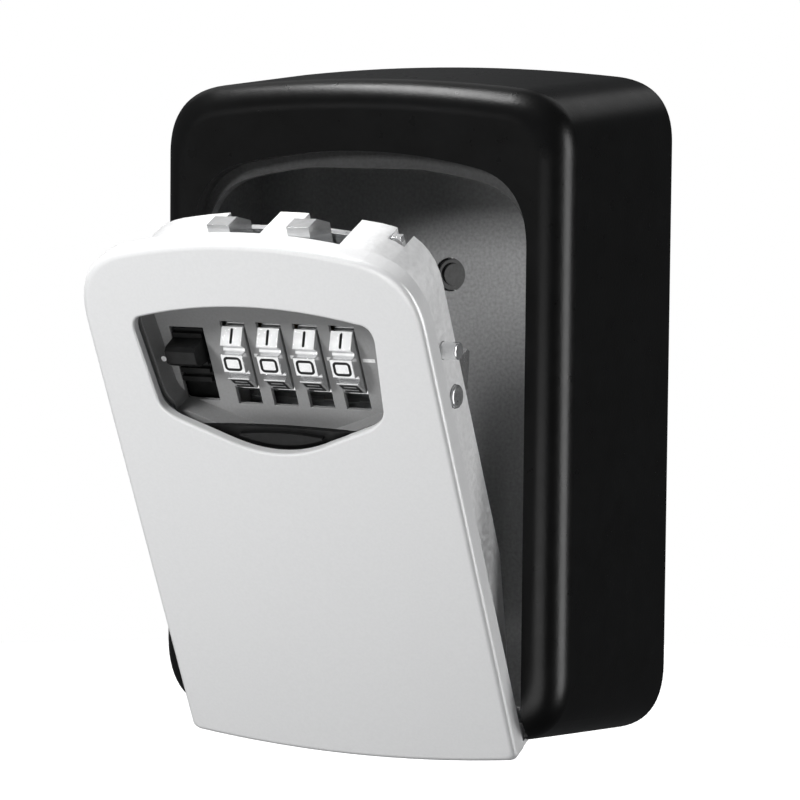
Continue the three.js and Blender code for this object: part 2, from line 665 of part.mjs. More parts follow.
// ---- assembly -----------------------------------------------------------------------------------
const lockBox = new THREE.Group();
const door = new THREE.Group();
const shutDoor = new THREE.Group();
door.position.set(0, pin.y, pin.z);
door.rotation.x = THREE.MathUtils.degToRad(doorOpenDeg);
shutDoor.position.set(0, -pin.y, -pin.z);
door.add(shutDoor);
lockBox.add(door);

makeHousing(lockBox);
makeHolePlugs(lockBox);
makeCover(shutDoor);
makeFrame(shutDoor);
makeRearCover(shutDoor);
makeRearScrews(shutDoor);
makeBezel(shutDoor);
makeDials(shutDoor);
makeSprings(shutDoor);
makeDetent(shutDoor);
makeSpindle(shutDoor);
makeLatch(shutDoor);
makeFence(shutDoor);
makeOpenLever(shutDoor);
makeShutter(shutDoor);
makeChangeLever(shutDoor);

export default lockBox;
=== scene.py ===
"""Looks for the wall-mounted key lock box. Lengths are in millimetres unless a name says otherwise, and
door pieces are built as they lie with the door shut, then turned open about the hinge pin."""

import json
import math

import bmesh
import bpy
from mathutils import Matrix, Vector


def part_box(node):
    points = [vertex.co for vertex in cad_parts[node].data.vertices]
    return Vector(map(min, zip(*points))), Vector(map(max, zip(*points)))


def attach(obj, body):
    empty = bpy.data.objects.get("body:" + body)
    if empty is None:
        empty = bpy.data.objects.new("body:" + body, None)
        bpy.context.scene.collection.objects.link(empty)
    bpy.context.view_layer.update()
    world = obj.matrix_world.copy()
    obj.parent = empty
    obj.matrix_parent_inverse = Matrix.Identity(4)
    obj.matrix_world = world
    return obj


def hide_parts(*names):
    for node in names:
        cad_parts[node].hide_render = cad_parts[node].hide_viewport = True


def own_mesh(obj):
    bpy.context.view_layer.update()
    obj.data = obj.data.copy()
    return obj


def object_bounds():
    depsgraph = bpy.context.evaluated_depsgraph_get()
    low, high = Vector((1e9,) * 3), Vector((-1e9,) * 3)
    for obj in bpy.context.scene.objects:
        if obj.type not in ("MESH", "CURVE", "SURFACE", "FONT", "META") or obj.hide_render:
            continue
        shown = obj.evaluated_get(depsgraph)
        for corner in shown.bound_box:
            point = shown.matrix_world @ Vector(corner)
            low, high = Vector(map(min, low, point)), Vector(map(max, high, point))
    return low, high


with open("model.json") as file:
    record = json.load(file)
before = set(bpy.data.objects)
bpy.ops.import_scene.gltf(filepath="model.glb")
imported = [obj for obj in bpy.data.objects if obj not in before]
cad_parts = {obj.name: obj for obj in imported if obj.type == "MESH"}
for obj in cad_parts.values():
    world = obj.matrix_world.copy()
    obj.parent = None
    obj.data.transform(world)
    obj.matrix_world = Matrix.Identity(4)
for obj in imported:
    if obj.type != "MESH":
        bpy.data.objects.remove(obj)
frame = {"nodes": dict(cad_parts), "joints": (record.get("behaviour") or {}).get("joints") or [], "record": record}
cad_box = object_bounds()

MM = 0.001
nodes = frame["nodes"]

# ---- the door's closed place, from the hinge joint ------------------------------------------------
hinge = next(j for j in frame["joints"] if j["name"] == "door_hinge")
hinge_point = Vector(hinge["pos_m"])
open_angle = -math.radians(hinge["range_deg"][0])
OPENED = (
    Matrix.Translation(hinge_point)
    @ Matrix.Rotation(open_angle, 4, "X")
    @ Matrix.Translation(-hinge_point)
)
SHUT = OPENED.inverted()


def shut_box(node):
    """Lowest and highest corner of a door node with the door shut, in millimetres."""
    corners = [SHUT @ v.co / MM for v in nodes[node].data.vertices]
    low = Vector([min(c[i] for c in corners) for i in range(3)])
    high = Vector([max(c[i] for c in corners) for i in range(3)])
    return low, high


# ---- materials ------------------------------------------------------------------------------------
def per_mm(size):
    """Noise scale that gives grains of about this many millimetres."""
    return 1.0 / (size * MM)


class Surface:
    """A Principled material whose colour, roughness and relief come from noise in object space."""

    def __init__(self, name, metallic=0.0, specular=0.5, coat=0.0, coat_roughness=0.1):
        self.material = bpy.data.materials.new(name)
        self.material.use_nodes = True
        self.tree = self.material.node_tree
        self.shader = self.tree.nodes["Principled BSDF"]
        self.shader.inputs["Metallic"].default_value = metallic
        self.shader.inputs["Specular IOR Level"].default_value = specular
        self.shader.inputs["Coat Weight"].default_value = coat
        self.shader.inputs["Coat Roughness"].default_value = coat_roughness
        self.place = self.tree.nodes.new("ShaderNodeTexCoord").outputs["Object"]
        self.relief = None

    def stretched(self, x=1.0, y=1.0, z=1.0):
        mapping = self.tree.nodes.new("ShaderNodeMapping")
        mapping.inputs["Scale"].default_value = (x, y, z)
        self.tree.links.new(self.place, mapping.inputs["Vector"])
        return mapping.outputs["Vector"]

    def noise(self, size, detail=3.0, place=None):
        node = self.tree.nodes.new("ShaderNodeTexNoise")
        node.inputs["Scale"].default_value = per_mm(size)
        node.inputs["Detail"].default_value = detail
        self.tree.links.new(place or self.place, node.inputs["Vector"])
        return node.outputs["Fac"]

    def cells(self, size):
        node = self.tree.nodes.new("ShaderNodeTexVoronoi")
        node.feature = "SMOOTH_F1"
        node.inputs["Scale"].default_value = per_mm(size)
        self.tree.links.new(self.place, node.inputs["Vector"])
        return node.outputs["Distance"]

    def colour(self, driver, dark, light, start=0.35, end=0.65):
        ramp = self.tree.nodes.new("ShaderNodeValToRGB")
        ramp.color_ramp.elements[0].position = start
        ramp.color_ramp.elements[1].position = end
        ramp.color_ramp.elements[0].color = (*dark, 1.0)
        ramp.color_ramp.elements[1].color = (*light, 1.0)
        self.tree.links.new(driver, ramp.inputs["Fac"])
        self.tree.links.new(ramp.outputs["Color"], self.shader.inputs["Base Color"])
        return self

    def rough(self, driver, low, high):
        span = self.tree.nodes.new("ShaderNodeMapRange")
        span.inputs["From Min"].default_value = 0.3
        span.inputs["From Max"].default_value = 0.7
        span.inputs["To Min"].default_value = low
        span.inputs["To Max"].default_value = high
        self.tree.links.new(driver, span.inputs["Value"])
        self.tree.links.new(span.outputs["Result"], self.shader.inputs["Roughness"])
        return self

    def bump(self, driver, height, strength=1.0):
        node = self.tree.nodes.new("ShaderNodeBump")
        node.inputs["Distance"].default_value = height * MM
        node.inputs["Strength"].default_value = strength
        self.tree.links.new(driver, node.inputs["Height"])
        if self.relief:
            self.tree.links.new(self.relief, node.inputs["Normal"])
        self.relief = node.outputs["Normal"]
        self.tree.links.new(self.relief, self.shader.inputs["Normal"])
        return self


def grey(level, tint=0.0):
    """A neutral colour, a touch cooler where the tint is above zero."""
    return (level, level * (1 + tint / 2), level * (1 + tint))


def black_coat():
    paint = Surface("housing_paint", specular=0.15)
    paint.colour(paint.noise(9.0), grey(0.0042), grey(0.0052, 0.04))
    paint.rough(paint.noise(3.0, 5.0), 0.27, 0.32)
    paint.bump(paint.noise(0.55, 2.0), 0.018)
    return paint.material


def inner_coat(name, level):
    paint = Surface(name, specular=0.3)
    paint.colour(paint.noise(0.6, 4.0), grey(level * 0.82), grey(level * 1.12, 0.02), 0.3, 0.7)
    paint.rough(paint.noise(1.4, 4.0), 0.5, 0.65)
    paint.bump(paint.cells(0.6), 0.05)
    paint.bump(paint.noise(0.3, 3.0), 0.03)
    return paint.material


def cover_paint():
    paint = Surface("cover_paint", metallic=0.1, specular=0.4, coat=0.1, coat_roughness=0.25)
    paint.colour(paint.noise(0.5, 3.0), grey(0.80, 0.008), grey(0.82, 0.008))
    paint.rough(paint.noise(2.0, 4.0), 0.36, 0.44)
    paint.bump(paint.noise(0.3, 2.0), 0.006)
    return paint.material


def cast_zinc():
    metal = Surface("cast_zinc", metallic=0.45, specular=0.5)
    metal.colour(metal.noise(0.8, 5.0), grey(0.80, 0.006), grey(0.86, 0.006))
    metal.rough(metal.noise(1.0, 4.0), 0.42, 0.52)
    metal.bump(metal.noise(0.45, 4.0), 0.02)
    return metal.material


def bezel_grey():
    plastic = Surface("bezel_grey", specular=0.35)
    plastic.colour(plastic.noise(0.4, 4.0), grey(0.265), grey(0.285, 0.01))
    plastic.rough(plastic.noise(0.8, 3.0), 0.5, 0.62)
    plastic.bump(plastic.noise(0.22, 2.0), 0.012)
    return plastic.material


def black_plastic():
    plastic = Surface("black_plastic", specular=0.22)
    plastic.colour(plastic.noise(1.6, 4.0), grey(0.006), grey(0.010, 0.04))
    plastic.rough(plastic.noise(0.9, 3.0), 0.36, 0.5)
    plastic.bump(plastic.noise(0.25, 2.0), 0.012)
    return plastic.material


def chrome_plate():
    metal = Surface("chrome_plate", metallic=0.86)
    metal.colour(metal.noise(1.2, 3.0), grey(0.80, 0.01), grey(0.86, 0.01))
    metal.rough(metal.noise(1.5, 4.0), 0.16, 0.24)
    metal.bump(metal.noise(0.5, 3.0), 0.004)
    return metal.material


def bright_steel():
    metal = Surface("bright_steel", metallic=1.0)
    brushed = metal.stretched(x=0.06)
    metal.colour(metal.noise(0.3, 3.0, brushed), grey(0.42, 0.02), grey(0.56, 0.02))
    metal.rough(metal.noise(0.4, 3.0, brushed), 0.26, 0.42)
    metal.bump(metal.noise(0.12, 2.0, brushed), 0.006)
    return metal.material


def turned_brass():
    metal = Surface("sleeve_brass", metallic=1.0)
    turned = metal.stretched(x=8.0)
    metal.colour(metal.noise(2.5, 3.0), (0.52, 0.37, 0.15), (0.62, 0.47, 0.22))
    metal.rough(metal.noise(0.8, 3.0, turned), 0.26, 0.38)
    metal.bump(metal.noise(0.9, 2.0, turned), 0.006)
    return metal.material


def plug_rubber():
    rubber = Surface("plug_rubber", specular=0.2)
    rubber.colour(rubber.noise(0.6), grey(0.11), grey(0.13))
    rubber.rough(rubber.noise(0.8), 0.6, 0.75)
    rubber.bump(rubber.noise(0.3, 2.0), 0.01)
    return rubber.material


def index_paint():
    paint = Surface("index_paint", specular=0.3)
    paint.colour(paint.noise(0.4), grey(0.72), grey(0.86))
    paint.rough(paint.noise(0.5), 0.45, 0.6)
    paint.bump(paint.noise(0.2), 0.004)
    return paint.material


MATERIALS = {
    "housing_paint": black_coat(),
    "cover_paint": cover_paint(),
    "cast_zinc": cast_zinc(),
    "bezel_grey": bezel_grey(),
    "black_plastic": black_plastic(),
    "chrome_plate": chrome_plate(),
    "bright_steel": bright_steel(),
    "sleeve_brass": turned_brass(),
}
INNER_COAT = inner_coat("inner_hammered_paint", 0.33)
# The ledge and walls round the mouth take a much darker copy of the inner coat; that darkness is painted shade.
SHADED_LEDGE_COAT = inner_coat("ledge_paint_painted_shade", 0.06)
INDEX_PAINT = index_paint()
PLUG_RUBBER = plug_rubber()


# ---- mesh helpers ---------------------------------------------------------------------------------
OVERSHOOT = 1.0  # how far a cutter reaches past the face it opens


def outline(start, *moves, steps=16):
    """A closed loop of points: each move is an end point, or a control point and an end point."""
    points = [start]
    for move in moves:
        begin, end = points[-1], move[-1]
        if len(move) == 1:
            points.append(end)
            continue
        for i in range(1, steps + 1):
            t = i / steps
            weights = ((1 - t) ** 2, 2 * t * (1 - t), t * t)
            pulls = list(zip(weights, (begin, move[0], end)))
            points.append(tuple(sum(weight * place[k] for weight, place in pulls) for k in (0, 1)))
    return points[:-1] if points[-1] == points[0] else points


def skin(rows):
    """A closed mesh through rows of 3-D points, capped at both ends."""
    mesh = bmesh.new()
    loops = [[mesh.verts.new(Vector(point) * MM) for point in row] for row in rows]
    count = len(rows[0])
    for lower, upper in zip(loops, loops[1:]):
        for i in range(count):
            j = (i + 1) % count
            mesh.faces.new((lower[i], lower[j], upper[j], upper[i]))
    mesh.faces.new(loops[0])
    mesh.faces.new(loops[-1])
    bmesh.ops.recalc_face_normals(mesh, faces=mesh.faces)
    return mesh


def in_xz(points, y):
    return [(x, y, z) for x, z in points]


def slab(points, y0, y1):
    return skin([in_xz(points, y0), in_xz(points, y1)])


def block(x0, x1, y0, y1, z0, z1):
    return slab([(x0, z0), (x1, z0), (x1, z1), (x0, z1)], y0, y1)


def disc_points(x, z, radius, sides=48):
    turns = [2 * math.pi * i / sides for i in range(sides)]
    return [(x + radius * math.cos(t), z + radius * math.sin(t)) for t in turns]


def peg(x, z, radius, y0, y1):
    return slab(disc_points(x, z, radius), y0, y1)


def new_object(name, mesh, *materials):
    """Turns a bmesh into an object in the scene."""
    data = bpy.data.meshes.new(name)
    mesh.to_mesh(data)
    mesh.free()
    for material in materials:
        data.materials.append(material)
    piece = bpy.data.objects.new(name, data)
    bpy.context.scene.collection.objects.link(piece)
    return piece


def taken_mesh(*pieces):
    """The objects' meshes as one bmesh; the objects themselves go away."""
    mesh = bmesh.new()
    for piece in pieces:
        mesh.from_mesh(piece.data)
        bpy.data.objects.remove(piece)
    return mesh


def combined(piece, operation, tools):
    """Cuts or joins the tools, one after another, and leaves one clean mesh."""
    helpers = [new_object("tool", tool) for tool in tools]
    for helper in helpers:
        step = piece.modifiers.new("step", "BOOLEAN")
        step.operation = operation
        step.solver = "MANIFOLD"
        step.object = helper
    bake_modifiers(piece)
    for helper in helpers:
        bpy.data.objects.remove(helper)
    return piece


def bake_modifiers(piece):
    bpy.context.view_layer.update()
    result = bpy.data.meshes.new_from_object(piece.evaluated_get(bpy.context.evaluated_depsgraph_get()))
    piece.modifiers.clear()
    piece.data = result


def cut(piece, *tools):
    return combined(piece, "DIFFERENCE", tools)


def fuse(piece, *tools):
    return combined(piece, "UNION", tools)


def stand_for(piece, node, body, placed=Matrix.Identity(4)):
    """Puts a detailed piece in a CAD node's place."""
    piece.matrix_world = placed
    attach(piece, body)
    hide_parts(node)


# ---- rounding and shading -------------------------------------------------------------------------
EDGE_ROUNDING = {
    "door_frame": 0.45,
    "rear_cover": 0.3,
    "dial_bezel": 0.2,
    "latch_slide": 0.35,
    "open_lever": 0.2,
    "shutter": 0.25,
    "change_lever": 0.3,
    "dial_axle": 0.25,
    "change_spindle": 0.3,
    "hinge_pin": 0.25,
}
SMALL_ROUNDING = 0.12
BEVEL_SEGMENTS = 3
WELD_WITHIN = 1e-6  # metres
FLAT_WITHIN = math.radians(0.6)
SHARP_FROM = math.radians(32)


def round_edges(piece, width):
    bevel = piece.modifiers.new("edges", "BEVEL")
    bevel.width = width * MM
    bevel.segments = BEVEL_SEGMENTS
    bevel.limit_method = "ANGLE"
    bevel.angle_limit = SHARP_FROM
    bevel.harden_normals = True
    normals = piece.modifiers.new("normals", "WEIGHTED_NORMAL")
    normals.keep_sharp = True
    piece.data.shade_smooth()


def soften(piece, width):
    """Joins the faces, merges the coplanar ones, rounds the sharp edges and smooths what is left."""
    weld = piece.modifiers.new("weld", "WELD")
    weld.merge_threshold = WELD_WITHIN
    dissolve = piece.modifiers.new("coplanar", "DECIMATE")
    dissolve.decimate_type = "DISSOLVE"
    dissolve.angle_limit = FLAT_WITHIN
    round_edges(piece, width)


def dress_cad_nodes():
    for part in frame["record"]["subparts"]:
        piece = nodes[part["node"]]
        piece.data.materials.clear()
        plug = part["node"].startswith("hole_plug")
        piece.data.materials.append(PLUG_RUBBER if plug else MATERIALS[part["material_slot"]])
        soften(piece, EDGE_ROUNDING.get(part["node"], SMALL_ROUNDING))


# ---- housing --------------------------------------------------------------------------------------
housing_low, housing_high = (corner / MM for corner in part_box("housing"))
HOUSING_DEPTH = -housing_low.y
SIDE_TAPER, TOP_TAPER, BOTTOM_TAPER = 2.75, 2.6, 3.2
ARCH_SAG = 2.7
CORNER_SHRINK = 0.7  # how much a corner's size falls for each millimetre the outline moves in
TOP_CORNER, BOTTOM_CORNER = 10.5, 12.9
FILLET, FILLET_STEPS = 5.2, 12
WALL, BACK = 2.6, 3.0
RIM_DEPTH, LEDGE_DEPTH = 3.2, 2.0
OPENING = {"half": 32.9, "crown": 45.0, "sag": 5.2, "corner_x": 10, "corner_z": 11, "bottom": -75}
MOUTH = {"half": 32.2, "crown": 42.5, "sag": 5.2, "corner_x": 10, "corner_z": 11, "bottom": -75}
KEEPER_HALF, KEEPER_BOTTOM = 11.0, 41.9
KEEPER_CUT_TOP = 60
FLOOR_SLOT = {"rear": -24.0, "bottom": -75, "top": -50}
LUG_REACH = {"front": 3.6, "rear": 4.6, "below": 3.2, "above": 4.4}
LUG_FROM_OPENING, LUG_FROM_SIDE = 0.3, 4.5
PLUG_GAP = 0.15
HOUSING_ROUNDING = 0.3
INSIDE_FRONT, INSIDE_LEDGE, INSIDE_REAR = 1.5, 0.5, 1.0  # margins of the inner coats
ALONG_Y = 0.9  # a face counts as square to the wall from this share of its normal along Y
PIN_BORE = 1.6
BORE_HALF = 35.8


def arched(half, crown, sag, corner_x, corner_z, bottom, bottom_sag=0.0, low_corner=0.0):
    """A panel outline with an arched top, soft top corners and a straight or bowed bottom."""

    def height(x):
        return crown - sag * (x / half) ** 2

    inside = half - corner_x
    control = height(inside) - 2 * sag * inside / half**2 * corner_x
    moves = [
        ((half, height(half) - corner_z),),
        ((half, control), (inside, height(inside))),
        ((0.0, 2 * crown - height(inside)), (-inside, height(inside))),
        ((-half, control), (-half, height(half) - corner_z)),
        ((-half, bottom + low_corner),),
    ]
    if low_corner:
        drop = 2 * bottom_sag * (2 * low_corner / half)
        moves.append(((-half, bottom), (-half + low_corner, bottom - drop)))
        moves.append(((0.0, bottom - 2 * bottom_sag + drop), (half - low_corner, bottom - drop)))
        moves.append(((half, bottom), (half, bottom + low_corner)))
    return outline((half, bottom + low_corner), *moves)


def housing_outline(depth, inset=0.0):
    share = depth / HOUSING_DEPTH
    half = housing_high.x - SIDE_TAPER * share - inset
    crown = housing_high.z - TOP_TAPER * share - inset
    bottom = housing_low.z + BOTTOM_TAPER * share + inset
    corner, low_corner = (size - CORNER_SHRINK * inset for size in (TOP_CORNER, BOTTOM_CORNER))

    def height(x):
        return crown - ARCH_SAG * (x / half) ** 2

    inside = half - corner
    return outline(
        (half, bottom + low_corner),
        ((half, height(half) - corner),),
        ((half, height(half)), (inside, height(inside))),
        ((0.0, 2 * crown - height(inside)), (-inside, height(inside))),
        ((-half, height(half)), (-half, height(half) - corner)),
        ((-half, bottom + low_corner),),
        ((-half, bottom), (-half + low_corner, bottom)),
        ((half - low_corner, bottom),),
        ((half, bottom), (half, bottom + low_corner)),
    )


def housing_body():
    straight = HOUSING_DEPTH - FILLET
    rows = [in_xz(housing_outline(0.0), 0.0)]
    for i in range(FILLET_STEPS + 1):
        turn = math.radians(90 * i / FILLET_STEPS)
        depth = straight + FILLET * math.sin(turn)
        rows.append(in_xz(housing_outline(depth, FILLET * (1 - math.cos(turn))), -depth))
    return skin(rows)


def housing_cutters():
    rim = -(HOUSING_DEPTH - RIM_DEPTH)
    ledge = rim + LEDGE_DEPTH
    hollow = [in_xz(housing_outline(-y, WALL), y) for y in (-BACK, ledge)]
    mouth = new_object("mouth", slab(arched(**MOUTH), rim - OVERSHOOT / 2, ledge + OVERSHOOT / 2))
    keeper = (-KEEPER_HALF, KEEPER_HALF, rim - OVERSHOOT, ledge + OVERSHOOT)
    cut(mouth, block(*keeper, KEEPER_BOTTOM, KEEPER_CUT_TOP))
    half = MOUTH["half"]
    slot = (ledge - OVERSHOOT / 2, FLOOR_SLOT["rear"], FLOOR_SLOT["bottom"], FLOOR_SLOT["top"])
    return [
        skin(hollow),
        slab(arched(**OPENING), -HOUSING_DEPTH - OVERSHOOT, rim),
        taken_mesh(mouth),
        block(-half, half, *slot),
    ]


def hinge_lugs():
    """Blocks that hold the hinge pin at both sides, trimmed to the housing's outside."""
    y, z = hinge_point.y / MM, hinge_point.z / MM
    inner, outer = OPENING["half"] + LUG_FROM_OPENING, housing_high.x - LUG_FROM_SIDE
    tall = (z - LUG_REACH["below"], z + LUG_REACH["above"])
    deep = (y - LUG_REACH["front"], y + LUG_REACH["rear"])
    lugs = new_object("lugs", block(inner, outer, *deep, *tall))
    fuse(lugs, block(-outer, -inner, *deep, *tall))
    combined(lugs, "INTERSECT", [housing_body()])
    return taken_mesh(lugs)


def paint_inside(piece):
    """Gives the inner coat to the faces that look into the box, and its much darker copy, which paints shade, to
    the ledge and walls round its mouth.
    """
    limits = (-HOUSING_DEPTH + INSIDE_FRONT, -HOUSING_DEPTH + RIM_DEPTH + INSIDE_LEDGE, -INSIDE_REAR)
    front, ledge, rear = (y * MM for y in limits)
    for face in piece.data.polygons:
        centre, normal = face.center, face.normal
        outward = normal.x * centre.x + normal.z * centre.z
        flat = abs(normal.y) > ALONG_Y and front < centre.y < rear
        if flat or (outward < 0 and abs(normal.y) < ALONG_Y):
            # Slot 2 is the inner coat darkened into painted shade for the ledge round the mouth.
            face.material_index = 2 if centre.y < ledge else 1


def pin_bore():
    y, z = hinge_point.y / MM, hinge_point.z / MM
    ring = disc_points(y, z, PIN_BORE, 32)
    return skin([[(x, a, b) for a, b in ring] for x in (-BORE_HALF, BORE_HALF)])


def screw_holes():
    """Each plug shows where a hole in the back wall is."""
    holes = []
    for name in nodes:
        if name.startswith("hole_plug"):
            low, high = (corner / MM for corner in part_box(name))
            radius = (high.x - low.x) / 2 + PLUG_GAP
            x, z = (low.x + high.x) / 2, (low.z + high.z) / 2
            holes.append(peg(x, z, radius, -BACK - OVERSHOOT, OVERSHOOT))
    return holes


def make_housing():
    piece = new_object("housing_shell", housing_body(), MATERIALS["housing_paint"],
                       INNER_COAT, SHADED_LEDGE_COAT)
    cut(piece, *housing_cutters())
    fuse(piece, hinge_lugs())
    cut(piece, pin_bore(), *screw_holes())
    paint_inside(piece)
    round_edges(piece, HOUSING_ROUNDING)
    stand_for(piece, "housing", "housing")


# ---- door cover -----------------------------------------------------------------------------------
COVER_FACE = -42.5
COVER = {"half": 32.4, "crown": 44.1, "sag": 5.2, "corner_x": 10, "corner_z": 11, "bottom": -55.7}
FOOT = {"bottom_sag": 2.0, "low_corner": 1.3}
COVER_SKIN, COVER_RIM = 1.6, 3.6
CROWN_DEPTH = 0.8
FRONT_ROUND = 1.1
WINDOW_ROUND = 0.45
COVER_ROUNDING = 0.2
BOW_FADE = 2.5  # the depth at which the bow of the front has died away
FLANGE = {"depth": 13.0, "skin": 1.0, "inset": 0.4, "gusset": 1.2, "corner": 0.6}
POSTS = [(27, -20), (27, -40), (-27, -20), (-27, -40)]
POST_RADIUS = 2.0
POST_SUNK, POST_END = 0.3, 3.75
GUIDES = {"inner": 24.8, "outer": 25.8, "sunk": 0.2, "rear": 3.4, "bottom": -24, "top": 33}
WINDOW_TOP = {"half": 22.8, "side": 26.4, "shoulder": 29.7, "crown": 32.3, "corner": 2.5, "droop": 0.3}
WINDOW_FOOT = {"half": 21.6, "top": 13.4, "bend": 11.4, "heel": 10.0, "bend_in": 0.4, "heel_in": 3.2}
WINDOW_VEE = {"half": 9.6, "top": 6.4, "pull": 2.2}
WINDOW_STEPS = 4
GUSSET_BLOCK = {"half": 40, "rear": 20, "below": 5}
FACE_STRIPS = 22
SNAP_WITHIN = 1e-7  # metres


def at(depth):
    """The Y of a place this far behind the shut cover's face."""
    return COVER_FACE + depth


def cover_outline(inset=0.0):
    half, crown, bottom = COVER["half"] - inset, COVER["crown"] - inset, COVER["bottom"] + inset
    return arched(**dict(COVER, half=half, crown=crown, bottom=bottom), **FOOT)


def window_outline(by=0.0):
    """The window: an arched top, nearly upright sides and a foot that dips to a blunt vee."""
    half, low = WINDOW_TOP["half"] + by, WINDOW_FOOT["half"] + by
    side, foot, bend = WINDOW_TOP["side"], WINDOW_FOOT["top"], WINDOW_FOOT["bend"]
    shoulder, heel = WINDOW_TOP["shoulder"] + by, WINDOW_FOOT["heel"] - by
    corner, droop = half - WINDOW_TOP["corner"], shoulder - WINDOW_TOP["droop"]
    bend_x, heel_x = low - WINDOW_FOOT["bend_in"], low - WINDOW_FOOT["heel_in"]
    vee, vee_top = WINDOW_VEE["half"], WINDOW_VEE["top"] - by
    return outline(
        (low, foot),
        ((half, side),),
        ((half, droop), (corner, shoulder)),
        ((0.0, 2 * (WINDOW_TOP["crown"] + by) - shoulder), (-corner, shoulder)),
        ((-half, droop), (-half, side)),
        ((-low, foot),),
        ((-bend_x, bend), (-heel_x, heel)),
        ((-vee, vee_top),),
        ((0.0, WINDOW_VEE["pull"] - by), (vee, vee_top)),
        ((heel_x, heel),),
        ((bend_x, bend), (low, foot)),
    )


def rounded_front(points_at, radius, rear, steps=6):
    """Rows from a rounded front edge back to the rear; points_at(inset) gives each loop."""
    rows = []
    for i in range(steps + 1):
        turn = math.pi / 2 * i / steps
        depth = radius * (1 - math.sin(turn))
        rows.append(in_xz(points_at(radius * (1 - math.cos(turn))), at(depth)))
    return [in_xz(points_at(0.0), at(rear))] + rows


def cover_flange():
    """The foot turned back under the door, with a small gusset at each end."""
    inset, skin_depth = FLANGE["inset"], FLANGE["skin"]
    outside = dict(COVER, half=COVER["half"] - inset)
    foot = dict(FOOT, low_corner=FLANGE["corner"])
    inside = dict(outside, half=outside["half"] - skin_depth, bottom=outside["bottom"] + skin_depth)
    solid = slab(arched(**outside, **foot), at(COVER_RIM - OVERSHOOT / 2), at(FLANGE["depth"]))
    flange = new_object("flange", solid)
    front, rear = at(COVER_RIM - OVERSHOOT), at(FLANGE["depth"] + OVERSHOOT)
    cut(flange, slab(arched(**inside, **foot), front, rear))
    wide, deep = GUSSET_BLOCK["half"], at(GUSSET_BLOCK["rear"])
    low, top = COVER["bottom"] - GUSSET_BLOCK["below"], COVER["bottom"] + FLANGE["gusset"]
    combined(flange, "INTERSECT", [block(-wide, wide, at(0), deep, low, top)])
    return taken_mesh(flange)


def window_cutter():
    """A straight hole that widens at the front, so that the window's edge is rounded."""
    rows = [in_xz(window_outline(), at(COVER_SKIN + OVERSHOOT))]
    for i in range(WINDOW_STEPS + 1):
        turn = math.pi / 2 * i / WINDOW_STEPS
        depth = WINDOW_ROUND * (1 - math.sin(turn))
        rows.append(in_xz(window_outline(WINDOW_ROUND * (1 - math.cos(turn))), at(depth)))
    rows.append(in_xz(window_outline(WINDOW_ROUND), at(-2 * OVERSHOOT)))
    return skin(rows)


def strip_lines(piece):
    """Adds vertical edges across the flat faces, so that they can follow the curve of the front."""
    mesh = bmesh.new()
    mesh.from_mesh(piece.data)
    half = COVER["half"] * MM
    for i in range(1, FACE_STRIPS):
        place = half * (2 * i / FACE_STRIPS - 1)
        everything = mesh.verts[:] + mesh.edges[:] + mesh.faces[:]
        across_x = {"plane_co": (place, 0, 0), "plane_no": (1, 0, 0)}
        bmesh.ops.bisect_plane(mesh, geom=everything, dist=SNAP_WITHIN, **across_x)
    mesh.to_mesh(piece.data)
    mesh.free()


def bow(piece):
    """Sinks the sides of the cover's front skin, which leaves the middle standing proud."""
    half = COVER["half"] * MM
    for vertex in piece.data.vertices:
        depth = vertex.co.y / MM - COVER_FACE
        if depth < BOW_FADE:
            proud = CROWN_DEPTH * (1 - (vertex.co.x / half) ** 2)
            vertex.co.y -= proud * MM * min(1.0, (BOW_FADE - depth) / (BOW_FADE - COVER_SKIN))


def make_cover():
    piece = new_object("cover_shell", skin(rounded_front(cover_outline, FRONT_ROUND, COVER_RIM)),
                       MATERIALS["cover_paint"])
    cut(piece, slab(cover_outline(COVER_SKIN), at(COVER_SKIN), at(COVER_RIM + OVERSHOOT)), window_cutter())
    inner, outer, bottom, top = (GUIDES[key] for key in ("inner", "outer", "bottom", "top"))
    guides = [
        block(x0, x1, at(COVER_SKIN - GUIDES["sunk"]), at(GUIDES["rear"]), bottom, top)
        for x0, x1 in ((inner, outer), (-outer, -inner))
    ]
    posts = [peg(x, z, POST_RADIUS, at(COVER_SKIN - POST_SUNK), at(POST_END)) for x, z in POSTS]
    fuse(piece, *posts, *guides, cover_flange())
    strip_lines(piece)
    bow(piece)
    round_edges(piece, COVER_ROUNDING)
    stand_for(piece, "front_cover", "door", OPENED)


# ---- dials ----------------------------------------------------------------------------------------
DIAL_RADIUS, DIAL_GROOVE = 8.0, 1.1
DIAL_BORE = 2.5
FACET_HALF = math.radians(12.6)
GROOVE_FROM = math.radians(15.4)
DIAL_EDGE = 0.28
DIGIT_HALF_WIDTH, DIGIT_HALF_HEIGHT = 1.45, 1.1
ZERO_CORNER = 0.55
STROKE = 0.24
END_STEPS, CORNER_STEPS = 8, 6
INK_HEIGHT = 0.03
STEP = math.radians(36)
STROKES = {
    "a": ((-1, 1), (1, 1)),
    "b": ((1, 1), (1, 0)),
    "c": ((1, 0), (1, -1)),
    "d": ((-1, -1), (1, -1)),
    "e": ((-1, 0), (-1, -1)),
    "f": ((-1, 1), (-1, 0)),
    "g": ((-1, 0), (1, 0)),
    "i": ((0, 1), (0, -1)),
}
DIGITS = ["", "i", "abged", "abgcd", "fgbc", "afgcd", "afgedc", "abc", "abcdefg", "abcdfg"]


def wheel_profile():
    """The wheel's side view: ten flat facets with a groove between neighbours."""
    deep = DIAL_RADIUS - DIAL_GROOVE
    facet = [(-FACET_HALF, DIAL_RADIUS), (FACET_HALF, DIAL_RADIUS)]
    groove = [(GROOVE_FROM, deep), (STEP - GROOVE_FROM, deep)]
    points = []
    for i in range(10):
        for turn, radius in facet + groove:
            angle = i * STEP + turn
            points.append((-radius * math.cos(angle), radius * math.sin(angle)))
    return points


def across(points, x0, x1):
    """A body with this outline in Y and Z, between two places along X."""
    return skin([[(x, y, z) for y, z in points] for x in (x0, x1)])


